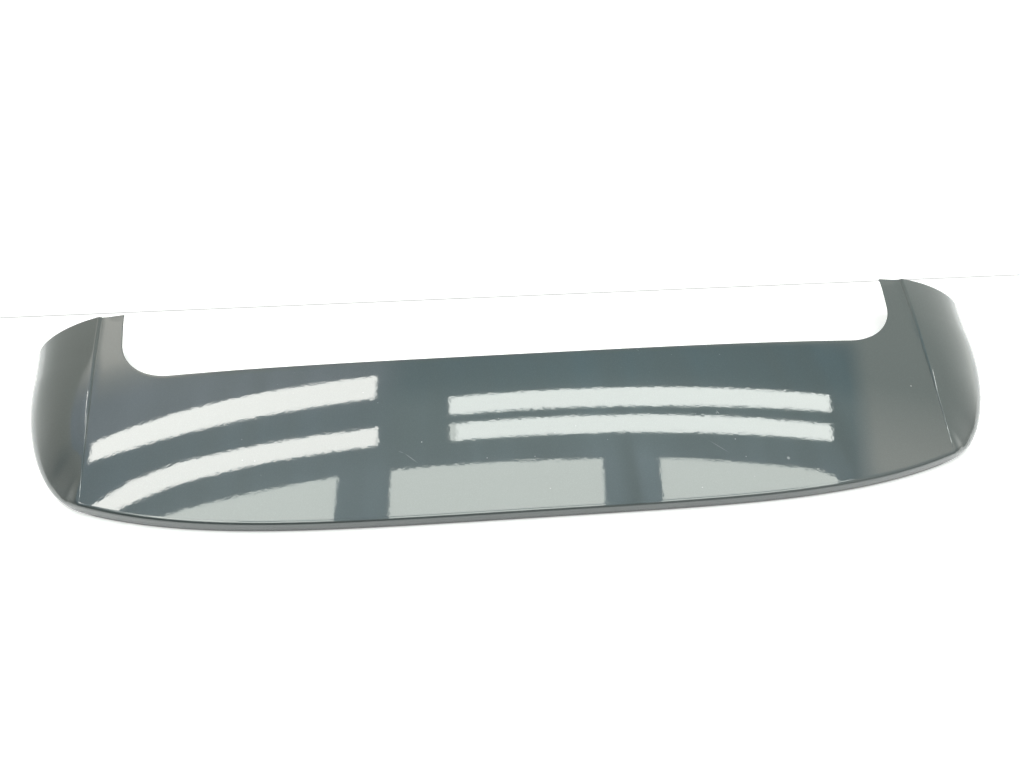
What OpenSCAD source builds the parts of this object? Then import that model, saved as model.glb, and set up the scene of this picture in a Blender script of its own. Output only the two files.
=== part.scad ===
// Rear roof spoiler with two forward arms and winglets, lying right side up on its rim.
// The centre of its footprint is the origin, the arms point along +Y and the lip faces -Y.

/* [Plan] */
// Width across the two ears
span = 1240; // [1180:5:1300]
// Depth of the blade on the centre line, from the trailing edge to the front edge
blade_depth = 204; // [192:2:220]
// How far the arm tips reach ahead of the blade's front edge
arm_reach = 112; // [98:2:130]
// Length of the trailing edge between the ends of the two creases
lip_length = 985; // [955:5:1000]
// How far the ends of the lip sweep forward of its middle
lip_sweep = 43; // [32:1:54]
// How far the middle of the front edge stands behind its ends
front_hollow = 2; // [0:0.5:8]
// Width of the notch between its inner corners, measured as if they were sharp
notch_width = 958; // [930:4:978]
// Radius of the notch's inner corners
notch_r = 70; // [50:2:82]
// Angle by which the arms' inner edges spread outward
arm_spread = 11.5; // [9:0.5:15]
// Angle by which the sides spread outward near the ears
side_spread = 11; // [8:0.5:15]
// How far the ear's outer corner sits behind its inner tip
ear_sweep = 25; // [18:1:36]
// Forward bulge of the ear's front edge
ear_bulge = 4.5; // [2:0.5:8]
// Width of an arm at its tip, inboard of the crease
arm_tip_w = 28; // [22:0.5:34]

/* [Height] */
// Height of the skin along its crest
crest_h = 64; // [58:1:72]
// Distance from the trailing edge to the crest
crest_y = 268; // [250:2:290]
// Drop of the crest from the middle to the notch's corners
crown = 7.5; // [3:0.5:12]
// Height of the trailing edge
lip_h = 12; // [11:0.5:15]
// Height of the joint between the two shells along the lip
joint_h = 8.1; // [7.5:0.1:8.6]
// Height that the side rim rises to at the ear's front corner
ear_rise = 4.5; // [2:0.5:10]

/* [Crease] */
// Height by which the winglet stands proud of the arm at its tip
step_h = 2.8; // [1:0.2:4]
// Width of that step at the tip
step_w = 4; // [3:0.5:6]
// Width of the hollow that runs along the foot of the step
toe_w = 12; // [8:1:16]

/* [Shells] */
// Wall of the upper shell
wall = 2.8; // [2.2:0.1:3.2]
// Wall of the lower shell
pan_wall = 2.6; // [2:0.1:3.2]
// Depth of the turned-down flange along the notch
flange_h = 7; // [5:0.5:9]
// How far that flange leans under along the arms
flange_lean = 4; // [2:0.5:5]
// Radius of the trailing edge
edge_r = 3.5; // [3.3:0.1:4.5]
// Clearance that the bond line keeps between glued faces
bond_gap = 0.3; // [0.2:0.05:0.4]

/* [Mounting land] */
// Height of the underside of the flat land that the studs stand on
land_h = 19; // [17:0.5:21]
// Width of that land, from back to front
land_w = 52; // [46:1:56]
// Distance from the trailing edge to the row of studs
stud_row = 128; // [120:1:134]
// Spacing of the inner pair of studs
inner_studs = 340; // [280:5:400]
// Spacing of the outer pair of studs
outer_studs = 740; // [690:5:760]
// Diameter of a stud
stud_d = 6; // [5:1:8]
// Length of a stud below the land
stud_len = 14; // [10:0.5:15]
// Thickness of the steel plate under a stud's head
plate_t = 1.5; // [1:0.1:2.5]
// Thickness of the foam rings and pads under the land
foam_t = 3; // [2:0.5:4]

/* [Notch seal] */
// Thickness of the foam strip along the notch
seal_t = 5; // [3:0.5:7]
// Width of that strip
seal_w = 11; // [7:0.5:12]

/* [Arm brackets] */
// Length of a bracket along its arm
bracket_l = 58; // [52:1:64]
// Width of a bracket
bracket_w = 20; // [18:0.5:21]
// Diameter of the locating pin
pin_d = 8; // [6:0.5:9]
// Length of the locating pin
pin_len = 15; // [10:0.5:16]
// Diameter of the hole that takes the push-in clip
clip_hole_d = 8.5; // [7.5:0.1:9.5]

/* [Hidden] */

half = span / 2;
lip_half = lip_length / 2;
depth = blade_depth + arm_reach;
lip_power = 4.2;
joint_gap = 0.5;

// Sections across one half of the strip: the blade, the rear corner and the ear.
blade_n = 14;
corner_n = 16;
ear_n = 7;
half_n = blade_n + corner_n + ear_n;
wing_n = 6;
skin_n = 9;

function unit(v) = v / norm(v);
function cross2(a, b) = a[0] * b[1] - a[1] * b[0];
function mix(a, b, t) = a + (b - a) * t;
function ease(t) = let (c = min(1, max(0, t))) c * c * (3 - 2 * c);
function bezier(p, t) = pow(1 - t, 3) * p[0] + 3 * t * pow(1 - t, 2) * p[1]
    + 3 * t * t * (1 - t) * p[2] + t * t * t * p[3];

// The notch: front edge, corner fillet and the arm's inner edge.
fillet_tangent = notch_r * tan((90 - arm_spread) / 2);
fillet_x = notch_width / 2 - fillet_tangent;
front_y = blade_depth + front_hollow;
function front_edge(t) =
    [fillet_x * t, front_y - front_hollow * (1 + cos(180 * t)) / 2];
function fillet(t) = let (a = (90 - arm_spread) * t)
    [fillet_x + notch_r * sin(a), front_y + notch_r * (1 - cos(a))];
arm_tip = let (p = fillet(1)) [p[0] + (depth - p[1]) * tan(arm_spread), depth];

// The rim: trailing edge, rear corner and side.
corner_lead = 57;
corner_tail = 87;
side_run = 53;
ear_corner = [half, depth - ear_sweep];
side_dir = [sin(side_spread), cos(side_spread)];
side_start = ear_corner - side_run * side_dir;
function lip_y(x) = lip_sweep * pow(abs(x) / lip_half, lip_power);
function lip_edge(t) = [lip_half * t, lip_y(lip_half * t)];
lip_dir = unit([lip_half, lip_sweep * lip_power]);
corner_curve = [lip_edge(1), lip_edge(1) + corner_lead * lip_dir,
                side_start - corner_tail * side_dir, side_start];

// Section number to its share of the blade, the corner and the ear.
function blade_t(a) = min(1, a / blade_n);
function corner_t(a) = min(1, max(0, (a - blade_n) / corner_n));
function ear_t(a) = max(0, (a - blade_n - corner_n) / ear_n);
function inner_pt(a) = a <= blade_n ? front_edge(blade_t(a))
    : a <= blade_n + corner_n ? fillet(corner_t(a)) : mix(fillet(1), arm_tip, ear_t(a));
function rim_pt(a) = a <= blade_n ? lip_edge(blade_t(a))
    : a <= blade_n + corner_n ? bezier(corner_curve, corner_t(a))
    : mix(side_start, ear_corner, ear_t(a));

// The crease runs straight from the lip's end to the arm tip.
min_step_w = 0.8;
crease_rear = let (o = lip_edge(1)) o + (edge_r + min_step_w) * unit(front_edge(1) - o);
crease_front = mix(arm_tip, ear_corner, arm_tip_w / norm(ear_corner - arm_tip));
function crease_share(p) = norm(p - crease_rear) / norm(crease_front - crease_rear);
function crease_pt(a) = let (i = inner_pt(a), o = rim_pt(a), r = crease_front - crease_rear)
    a <= blade_n ? o + (edge_r + min_step_w) * unit(i - o)
    : i + (o - i) * cross2(crease_rear - i, r) / cross2(o - i, r);
function along(a) = a <= blade_n ? 0 : min(1, crease_share(crease_pt(a)));
function step_width(a) = mix(min_step_w, step_w, along(a));
function step_height(a) = step_h * pow(along(a), 1.2);

// Rise of the arm's skin towards the foot of the step, over the width of the hollow.
toe_share = 0.3;
function toe(a, t) = let (d = t * norm(inner_pt(a) - crease_pt(a)))
    toe_share * step_height(a) * pow(max(0, 1 - d / toe_w), 2);

// Height of the skin before it rolls down to the rim.
camber = 1.2;
sweep_share = 0.7;
function skin_z(p) = let (q = (p[1] - sweep_share * lip_y(p[0])) / crest_y,
                          top = crest_h - crown * pow(p[0] / fillet_x, 2))
    lip_h + (top - lip_h) * (1 - pow(max(0, 1 - q), camber));

// Height of the rim: the joint along the lip, the ground round the corner, a rise at the ear.
joint_run = 0.3;
function rim_z(a) = a <= blade_n ? joint_h + joint_gap
    : (joint_h + joint_gap) * (1 - ease(corner_t(a) / joint_run)) + ear_rise * pow(ear_t(a), 2);

// The roll from the crease to the rim: 0 at the crease and 1 at the rim.
wing_slope = 0.24;
wing_fall = 0.35;
wing_start = 8;
function roll(a, r) = let (c = corner_t(a), k = ease(c * wing_start), n = 2 + k / 2,
                           s = k * (wing_slope + wing_fall * (1 - c) * (1 - c)))
    s * r + (1 - s) * (1 - sqrt(max(0, 1 - pow(r, n))));

// Points of the face in section a, with the ear's bulge added.
function bulged(a, p) = let (i = inner_pt(a), o = rim_pt(a), s = norm(p - i) / norm(o - i))
    [p[0], p[1] + ear_bulge * pow(ear_t(a), 2) * sin(180 * min(1, s))];
function wing_plan(a, r) = mix(crease_pt(a) + step_width(a) * unit(rim_pt(a) - inner_pt(a)), rim_pt(a), r);
function wing_z(a, r) = let (z = rim_z(a)) z + (skin_z(wing_plan(a, 0)) - z) * (1 - roll(a, r));
function on_wing(a, r, proud) = let (p = bulged(a, wing_plan(a, r)))
    [p[0], p[1], wing_z(a, r) + proud * step_height(a) * pow(1 - r, 2)];
function on_skin(a, t, proud) = let (p = bulged(a, mix(crease_pt(a), inner_pt(a), t)))
    [p[0], p[1], skin_z(p) + proud * toe(a, t)];

// How far the flange at the notch leans under in section a, and the share of the skin's width that
// the lines inside the shell spread over to leave room for it.
lean_from = blade_n + 3;
lean_run = 4;
lean_room = 1.3;
function lean(a) = flange_lean * ease((a - lean_from) / lean_run);
function inside_share(a) = 1 - lean_room * lean(a) / norm(inner_pt(a) - crease_pt(a));

// Lines of one section from the rim to the notch: proud 1 is the true face, 0 leaves out the step.
function section(a, proud) = let (share = proud ? 1 : inside_share(a)) concat(
    [for (k = [wing_n:-1:0]) on_wing(a, sin(90 * k / wing_n), proud)],
    [for (m = [0:skin_n]) on_skin(a, share * m / skin_n, proud)]);

// Places in section a: at a distance from the rim or from the notch, or at a given depth.
function lift(p, z) = [p[0], p[1], z];
function section_dir(a) = unit(inner_pt(a) - rim_pt(a));
function from_rim(a, d) = rim_pt(a) + d * section_dir(a);
function from_notch(a, d) = inner_pt(a) - d * section_dir(a);
function at_y(a, y) = let (i = inner_pt(a), o = rim_pt(a)) mix(o, i, (y - o[1]) / (i[1] - o[1]));

function mirror_x(p) = [-p[0], p[1], p[2]];
function both_halves(rows) = concat(
    [for (i = [len(rows) - 1:-1:1]) [for (p = rows[i]) mirror_x(p)]], rows);
function clamp(i, n) = min(n, max(0, i));
function face_normal(g, i, j) = let (
    di = g[clamp(i + 1, len(g) - 1)][j] - g[clamp(i - 1, len(g) - 1)][j],
    dj = g[i][clamp(j + 1, len(g[0]) - 1)] - g[i][clamp(j - 1, len(g[0]) - 1)])
    unit(cross(di, dj));

// Two triangles for each square between neighbouring rows of a closed loop, and strips at the ends.
module loft(rows, pairs) {
    n = len(rows[0]);
    last = (len(rows) - 1) * n;
    skin = [for (i = [0:len(rows) - 2], k = [0:n - 1])
        let (a = i * n + k, b = i * n + (k + 1) % n, c = b + n, d = a + n) each [[a, b, c], [a, c, d]]];
    ends = [for (q = pairs) each [[q[0], q[3], q[2]], [q[0], q[2], q[1]],
        [last + q[0], last + q[2], last + q[3]], [last + q[0], last + q[1], last + q[2]]]];
    polyhedron(points = [for (r = rows) each r], faces = concat(skin, ends), convexity = 10);
}

// Pairs the outer lines of a shell section with its inner lines.
function strip_pairs(n) = [for (j = [0:n / 2 - 2]) [j, j + 1, n - 2 - j, n - 1 - j]];

// Upper shell: outer lines, the turned-down flange at the notch and the inner lines one wall inside.
// Near the arm's front end the inner lines drop by the flange's depth, which turns that edge down too.
front_wall = wall * ear_n / side_run;
shell_sections = concat([for (a = [0:half_n - 1]) a], [half_n - 1.1 * front_wall, half_n - front_wall, half_n]);
module upper_shell() {
    outer = both_halves([for (a = shell_sections) section(a, 1)]);
    base = both_halves([for (a = shell_sections) section(a, 0)]);
    lines = len(base[0]);
    middle = len(shell_sections) - 1;
    loops = [for (i = [0:2 * middle]) let (
        a = shell_sections[abs(i - middle)],
        side = i < middle ? -1 : 1,
        turned = a >= half_n - front_wall,
        edge = outer[i][lines - 1],
        rim = outer[i][0],
        low = edge[2] - flange_h,
        foot = from_notch(a, lean(a)),
        flange_in = from_notch(a, lean(a) + (turned ? wall / 2 : wall)),
        notch_in = from_notch(a, lean(a) * (turned ? 1 : wall / flange_h) + wall),
        rim_in = from_rim(a, wall))
        concat(outer[i],
            [[side * foot[0], foot[1], low],
             [side * flange_in[0], flange_in[1], low],
             [side * notch_in[0], notch_in[1], turned ? low : edge[2] - wall]],
            [for (j = [lines - 2:-1:1]) let (p = base[i][j], q = p - wall * face_normal(base, i, j))
                turned ? [p[0], p[1], max(rim[2], q[2] - flange_h + wall)] : q],
            [[side * rim_in[0], rim_in[1], rim[2]]])];
    color("#5d666b") translate([0, -depth / 2, 0]) loft(loops, strip_pairs(len(loops[0])));
}

// Lower shell: the lip below the joint, a rising floor, the mounting land and the ledge at the notch.
pan_end = lean_from;
lip_recess = 0.4;
lip_round = 1.5;
lip_foot = 10;
tongue = [5, 13];
floor_start = 16;
ledge_w = 14;
ledge_t = flange_h - wall - bond_gap;
land_back = stud_row - land_w / 2;
land_front = stud_row + land_w / 2;
land_ramp = 12;
land_drop = 9;

// Height of the skin at a distance from the rim, and the height that stays clear below it there.
function roof_z(a, d) = let (w = norm(rim_pt(a) - wing_plan(a, 0)))
    d < w ? wing_z(a, 1 - d / w) : skin_z(from_rim(a, d));
function under_roof(a, d) = roof_z(a, max(0, d - wall)) - wall - bond_gap;
function under_skin(p) = skin_z(p) - wall - bond_gap;

// One section, along its upper side from the lip to the notch and back along its underside.
function pan_section(a) = let (
    top = rim_z(a) - joint_gap,
    ledge_back = from_notch(a, ledge_w),
    ledge_front = from_notch(a, wall + bond_gap),
    ramp = at_y(a, land_back - land_ramp),
    ramp_z = land_h - land_drop,
    floor_z = ramp_z * (floor_start - lip_foot) / (norm(ramp - rim_pt(a)) - lip_foot))
    [lift(from_rim(a, wall + bond_gap), top),
     lift(from_rim(a, tongue[0]), under_roof(a, tongue[0])),
     lift(from_rim(a, tongue[1]), under_roof(a, tongue[1])),
     lift(from_rim(a, floor_start), floor_z + pan_wall),
     lift(ramp, ramp_z + pan_wall),
     lift(at_y(a, land_back), land_h + pan_wall),
     lift(at_y(a, land_front), land_h + pan_wall),
     lift(ledge_back, under_skin(ledge_back)),
     lift(ledge_front, under_skin(ledge_front)),
     lift(ledge_front, under_skin(ledge_front) - ledge_t),
     lift(ledge_back, under_skin(ledge_back) - ledge_t),
     lift(at_y(a, land_front), land_h),
     lift(at_y(a, land_back), land_h),
     lift(ramp, ramp_z),
     lift(from_rim(a, lip_foot), 0),
     lift(from_rim(a, lip_recess + lip_round), 0),
     lift(from_rim(a, lip_recess), min(lip_round, top / 2)),
     lift(from_rim(a, lip_recess), top)];

// The four studs stand in one row on the land.
stud_places = [for (x = [-outer_studs, -inner_studs, inner_studs, outer_studs]) [x / 2, stud_row - depth / 2]];
module at_studs(z) {
    for (p = stud_places) translate([p[0], p[1], z]) children();
}

neck_step = 0.3;
hole_gap = 0.3;
hole_r = stud_d / 2 + neck_step + hole_gap;
stake_d = 4;
stake_x = 16;
stake_h = 3;
module at_stakes() {
    for (side = [-1, 1]) translate([side * stake_x, 0, 0]) children();
}

module lower_shell() {
    rows = both_halves([for (a = [0:pan_end]) pan_section(a)]);
    color("#3f4648") difference() {
        union() {
            translate([0, -depth / 2, 0]) loft(rows, strip_pairs(len(rows[0])));
            at_studs(land_h + pan_wall / 2) at_stakes() cylinder(d = stake_d, h = pan_wall / 2 + stake_h, $fn = 32);
        }
        at_studs(land_h - 1) cylinder(r = hole_r, h = pan_wall + 2, $fn = 48);
    }
}

// Foam strip under the ledge, along the front edge of the blade and into the notch's corners.
seal_inset = 1.5;
module notch_seal() {
    rows = both_halves([for (a = [0:pan_end]) let (
        back = from_notch(a, seal_inset + seal_w),
        front = from_notch(a, seal_inset),
        back_z = under_skin(back) - ledge_t - bond_gap,
        front_z = under_skin(front) - ledge_t - bond_gap)
        [lift(back, back_z), lift(front, front_z), lift(front, front_z - seal_t), lift(back, back_z - seal_t)]]);
    color("#262626") translate([0, -depth / 2, 0]) loft(rows, strip_pairs(4));
}

// Steel plates with two holes that the stakes of the lower shell pass through.
plate_size = [46, 26];
plate_corner = 5;
module stud_plates() {
    color("#b9bcbe") at_studs(land_h + pan_wall) linear_extrude(plate_t) difference() {
        hull() for (x = [-1, 1], y = [-1, 1])
            translate([x * (plate_size[0] / 2 - plate_corner), y * (plate_size[1] / 2 - plate_corner)])
                circle(r = plate_corner, $fn = 32);
        circle(r = hole_r, $fn = 48);
        at_stakes() circle(d = stake_d + 2 * hole_gap, $fn = 32);
    }
}

// Each stud has a flat head above its plate, a wider neck down through the foam ring and a shank
// with a chamfered end.
stud_head = [14, 2];
stud_chamfer = 0.8;
module mounting_studs() {
    head_z = land_h + pan_wall + plate_t;
    r = stud_d / 2;
    color("#c8cacc") at_studs(0) rotate_extrude($fn = 48)
        polygon([[0, land_h - stud_len], [r - stud_chamfer, land_h - stud_len],
                 [r, land_h - stud_len + stud_chamfer], [r, land_h - foam_t],
                 [r + neck_step, land_h - foam_t + neck_step], [r + neck_step, head_z], [stud_head[0] / 2, head_z],
                 [stud_head[0] / 2, head_z + stud_head[1]], [0, head_z + stud_head[1]]]);
}

seal_ring_d = 24;
module stud_seals() {
    color("#262626") at_studs(land_h - foam_t) linear_extrude(foam_t) difference() {
        circle(d = seal_ring_d, $fn = 48);
        circle(r = hole_r, $fn = 48);
    }
}

// Foam pads under the land: one in the middle and one between the studs of each side.
pad_size = [70, 30];
module land_pads() {
    color("#262626") for (x = [-1, 0, 1] * (inner_studs + outer_studs) / 4)
        translate([x - pad_size[0] / 2, stud_row - depth / 2 - pad_size[1] / 2, land_h - foam_t])
            cube([pad_size[0], pad_size[1], foam_t]);
}

// Brackets hang from the skin under each crease, in line with it.
bracket_at = half_n - 4;
bracket_span = 3.5;
crease_line = crease_front - crease_rear;
arm_angle = atan2(crease_line[0], crease_line[1]);
bracket_place = crease_pt(bracket_at);
bracket_plate = 3;
bracket_web = 2.5;
shelf_z = 21;
shelf_t = 3;
shelf_l = 24;
boss_d = 15;
pin_chamfer = 1.5;
pin_y = boss_d / 2 - bracket_l / 2 + 3;
clip_y = bracket_l / 2 - shelf_l / 2;

// Height of the bracket's top face at a distance along it, under the winglet at its outer side.
function under_wing(a) = let (w = norm(rim_pt(a) - wing_plan(a, 0)))
    wing_z(a, (bracket_w / 2 - step_width(a)) / w) - wall - bond_gap;
bracket_rear_z = under_wing(bracket_at - bracket_span);
bracket_front_z = under_wing(bracket_at + bracket_span);
function bracket_z(y) = mix(bracket_rear_z, bracket_front_z, y / bracket_l + 0.5);

module place_bracket() {
    translate([bracket_place[0], bracket_place[1] - depth / 2, 0]) rotate([0, 0, -arm_angle]) children();
}

// A web or plate that runs along the bracket from y0 to y1, with its top in or on the sloping plate.
module bracket_wall(x, w, y0, y1, low0, low1, sink) {
    translate([x, 0, 0]) rotate([90, 0, 90]) linear_extrude(w)
        polygon([[y0, low0], [y1, low1], [y1, bracket_z(y1) - sink], [y0, bracket_z(y0) - sink]]);
}

module arm_bracket() {
    half_l = bracket_l / 2;
    half_w = bracket_w / 2;
    shelf_y = half_l - shelf_l;
    sink = bracket_plate / 2;
    difference() {
        union() {
            bracket_wall(-half_w, bracket_w, -half_l, half_l,
                         bracket_rear_z - bracket_plate, bracket_front_z - bracket_plate, 0);
            translate([-half_w, shelf_y, shelf_z]) cube([bracket_w, shelf_l, shelf_t]);
            for (x = [-half_w, half_w - bracket_web])
                bracket_wall(x, bracket_web, shelf_y, half_l, shelf_z, shelf_z, sink);
            bracket_wall(-half_w, bracket_w, shelf_y, shelf_y + bracket_web, shelf_z, shelf_z, sink);
            bracket_wall(-bracket_web / 2, bracket_web, pin_y, shelf_y + bracket_web / 2,
                         shelf_z + shelf_t, shelf_z + shelf_t, sink);
            translate([0, pin_y, shelf_z])
                cylinder(d = boss_d, h = bracket_z(pin_y) - bracket_plate / 2 - shelf_z, $fn = 48);
            translate([0, pin_y, shelf_z - pin_len + pin_chamfer])
                cylinder(d = pin_d, h = pin_len, $fn = 48);
            translate([0, pin_y, shelf_z - pin_len])
                cylinder(d1 = pin_d - 2 * pin_chamfer, d2 = pin_d, h = pin_chamfer, $fn = 48);
        }
        translate([0, clip_y, shelf_z - 1]) cylinder(d = clip_hole_d, h = shelf_t + 2, $fn = 48);
    }
}
module arm_bracket_right() {
    color("#1d1f20") place_bracket() arm_bracket();
}
module arm_bracket_left() {
    mirror([1, 0, 0]) arm_bracket_right();
}

// Push-in clip: a head on the shelf, a neck in its hole and a stem with fins below.
clip_head = [15, 2];
clip_gap = 0.3;
clip_fins = 4;
fin_pitch = 2.6;
fin_reach = 1.6;
clip_stem = 2.4;
module clip() {
    neck = clip_hole_d / 2 - clip_gap;
    tip_z = shelf_z - clip_gap - clip_fins * fin_pitch;
    color("#d8d8d2") translate([0, clip_y, 0]) rotate_extrude($fn = 40)
        polygon(concat([[0, tip_z]],
            [for (i = [clip_fins - 1:-1:0]) let (z = shelf_z - clip_gap - i * fin_pitch)
                each [[clip_stem, z - fin_pitch], [neck + fin_reach, z - 0.4], [neck + fin_reach - 0.4, z]]],
            [[neck, shelf_z - clip_gap], [neck, shelf_z + shelf_t], [clip_head[0] / 2, shelf_z + shelf_t],
             [clip_head[0] / 2, shelf_z + shelf_t + clip_head[1]], [0, shelf_z + shelf_t + clip_head[1]]]));
}
module arm_clips() {
    for (side = [0, 1]) mirror([side, 0, 0]) place_bracket() clip();
}

upper_shell();
lower_shell();
notch_seal();
stud_plates();
mounting_studs();
stud_seals();
land_pads();
arm_bracket_left();
arm_bracket_right();
arm_clips();
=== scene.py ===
import math

import bmesh
import bpy
import numpy as np
from mathutils import Matrix, Vector


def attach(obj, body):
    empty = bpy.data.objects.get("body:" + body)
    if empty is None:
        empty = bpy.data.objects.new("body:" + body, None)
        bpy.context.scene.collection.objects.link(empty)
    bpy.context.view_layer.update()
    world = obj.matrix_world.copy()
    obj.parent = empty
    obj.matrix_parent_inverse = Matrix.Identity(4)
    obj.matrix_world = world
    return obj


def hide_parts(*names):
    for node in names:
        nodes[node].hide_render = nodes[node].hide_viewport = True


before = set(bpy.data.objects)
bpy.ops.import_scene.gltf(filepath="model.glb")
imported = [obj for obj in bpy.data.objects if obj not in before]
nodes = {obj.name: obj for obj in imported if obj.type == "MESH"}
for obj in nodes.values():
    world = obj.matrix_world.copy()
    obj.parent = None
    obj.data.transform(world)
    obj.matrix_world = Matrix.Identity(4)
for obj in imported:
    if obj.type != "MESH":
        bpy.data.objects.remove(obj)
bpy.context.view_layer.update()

MM = 0.001

# Dimensions, as in the CAD source.
SPAN, BLADE_DEPTH, ARM_REACH = 1240 * MM, 204 * MM, 112 * MM
LIP_LENGTH, LIP_SWEEP, LIP_POWER = 985 * MM, 43 * MM, 4.2
FRONT_HOLLOW, NOTCH_WIDTH, NOTCH_R = 2 * MM, 958 * MM, 70 * MM
ARM_SPREAD, SIDE_SPREAD = math.radians(11.5), math.radians(11)
EAR_SWEEP, EAR_BULGE, ARM_TIP_W = 25 * MM, 4.5 * MM, 28 * MM
CREST_H, CREST_Y, CROWN = 64 * MM, 268 * MM, 7.5 * MM
LIP_H, JOINT_H, EAR_RISE = 12 * MM, 8.1 * MM, 4.5 * MM
STEP_H, STEP_W, MIN_STEP_W = 2.8 * MM, 4 * MM, 0.8 * MM
TOE_W, TOE_SHARE, TOE_FROM, TOE_RUN, STEP_POWER = 12 * MM, 0.3, 0.3, 0.4, 0.85
WALL, PAN_WALL, FLANGE_H, EDGE_R, BOND_GAP = 2.8 * MM, 2.6 * MM, 7 * MM, 3.5 * MM, 0.3 * MM
FLANGE_LEAN = 4 * MM
LAND_H, LAND_W, STUD_ROW = 19 * MM, 52 * MM, 128 * MM
INNER_STUDS, OUTER_STUDS = 340 * MM, 740 * MM
STUD_D, STUD_LEN, PLATE_T, FOAM_T = 6 * MM, 14 * MM, 1.5 * MM, 3 * MM
SEAL_T, SEAL_W, SEAL_INSET = 5 * MM, 11 * MM, 1.5 * MM
CORNER_LEAD, CORNER_TAIL, SIDE_RUN = 57 * MM, 87 * MM, 53 * MM
CAMBER, SWEEP_SHARE, JOINT_RUN, JOINT_GAP = 1.2, 0.7, 0.3, 0.5 * MM
WING_SLOPE, WING_FALL, WING_START, WING_POWER = 0.24, 0.35, 8, 2.5
NECK_STEP, HOLE_GAP = 0.3 * MM, 0.3 * MM
# Sections are counted from 0 on the centre line to HALF_N at the front of the ear.
BLADE_N, CORNER_N, EAR_N = 14, 16, 7
HALF_N = BLADE_N + CORNER_N + EAR_N
LEAN_FROM, LEAN_RUN, LEAN_ROOM = BLADE_N + 3, 4, 1.3
HALF, LIP_HALF, DEPTH = SPAN / 2, LIP_LENGTH / 2, BLADE_DEPTH + ARM_REACH


def length(v):
    return np.linalg.norm(v, axis=-1)


def unit(v):
    return v / np.linalg.norm(v, axis=-1, keepdims=True)


def cross2(a, b):
    return a[..., 0] * b[..., 1] - a[..., 1] * b[..., 0]


def mix(a, b, t):
    return a + (b - a) * t


def ease(t):
    c = np.clip(t, 0, 1)
    return c * c * (3 - 2 * c)


def xy(x, y):
    return np.stack(np.broadcast_arrays(x, y), -1)


# Plan curves.
TANGENT = NOTCH_R * math.tan((math.pi / 2 - ARM_SPREAD) / 2)
FILLET_X = NOTCH_WIDTH / 2 - TANGENT
FRONT_Y = BLADE_DEPTH + FRONT_HOLLOW


def front_edge(t):
    return xy(FILLET_X * t, FRONT_Y - FRONT_HOLLOW * (1 + np.cos(np.pi * t)) / 2)


def fillet(t):
    a = (math.pi / 2 - ARM_SPREAD) * t
    return xy(FILLET_X + NOTCH_R * np.sin(a), FRONT_Y + NOTCH_R * (1 - np.cos(a)))


FILLET_END = fillet(1.0)
ARM_TIP = np.array([FILLET_END[0] + (DEPTH - FILLET_END[1]) * math.tan(ARM_SPREAD), DEPTH])
EAR_CORNER = np.array([HALF, DEPTH - EAR_SWEEP])
SIDE_DIR = np.array([math.sin(SIDE_SPREAD), math.cos(SIDE_SPREAD)])
SIDE_START = EAR_CORNER - SIDE_RUN * SIDE_DIR


def lip_y(x):
    return LIP_SWEEP * (np.abs(x) / LIP_HALF) ** LIP_POWER


def lip_edge(t):
    return xy(LIP_HALF * t, lip_y(LIP_HALF * t))


LIP_END = lip_edge(1.0)
LIP_DIR = unit(np.array([LIP_HALF, LIP_SWEEP * LIP_POWER]))
CORNER = [LIP_END, LIP_END + CORNER_LEAD * LIP_DIR,
          SIDE_START - CORNER_TAIL * SIDE_DIR, SIDE_START]


def bezier(p, t):
    t = t[..., None]
    s = 1 - t
    return s**3 * p[0] + 3 * t * s**2 * p[1] + 3 * t * t * s * p[2] + t**3 * p[3]


def blade_t(a):
    return np.minimum(1, a / BLADE_N)


def corner_t(a):
    return np.clip((a - BLADE_N) / CORNER_N, 0, 1)


def ear_t(a):
    return np.maximum(0, (a - BLADE_N - CORNER_N) / EAR_N)


def pick(a, blade, corner, ear):
    a = a[..., None]
    return np.where(a <= BLADE_N, blade, np.where(a <= BLADE_N + CORNER_N, corner, ear))


def inner_pt(a):
    arm = mix(FILLET_END, ARM_TIP, ear_t(a)[..., None])
    return pick(a, front_edge(blade_t(a)), fillet(corner_t(a)), arm)


def rim_pt(a):
    side = mix(SIDE_START, EAR_CORNER, ear_t(a)[..., None])
    return pick(a, lip_edge(blade_t(a)), bezier(CORNER, corner_t(a)), side)


CREASE_REAR = LIP_END + (EDGE_R + MIN_STEP_W) * unit(front_edge(1.0) - LIP_END)
CREASE_FRONT = mix(ARM_TIP, EAR_CORNER, ARM_TIP_W / np.linalg.norm(EAR_CORNER - ARM_TIP))
CREASE_LENGTH = np.linalg.norm(CREASE_FRONT - CREASE_REAR)


def crease_pt(a):
    i, o, r = inner_pt(a), rim_pt(a), CREASE_FRONT - CREASE_REAR
    on_blade = o + (EDGE_R + MIN_STEP_W) * unit(i - o)
    on_line = i + (o - i) * (cross2(CREASE_REAR - i, r) / cross2(o - i, r))[..., None]
    return np.where((a <= BLADE_N)[..., None], on_blade, on_line)


def along(a):
    share = length(crease_pt(a) - CREASE_REAR) / CREASE_LENGTH
    return np.where(a <= BLADE_N, 0, np.minimum(1, share))


# The skin.
def skin_z(p):
    q = (p[..., 1] - lip_y(p[..., 0]) * SWEEP_SHARE) / CREST_Y
    top = CREST_H - CROWN * (p[..., 0] / FILLET_X) ** 2
    return LIP_H + (top - LIP_H) * (1 - np.maximum(0, 1 - q) ** CAMBER)


def rim_z(a):
    joint = JOINT_H + JOINT_GAP
    outboard = joint * (1 - ease(corner_t(a) / JOINT_RUN)) + EAR_RISE * ear_t(a) ** 2
    return np.where(a <= BLADE_N, joint, outboard)


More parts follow.
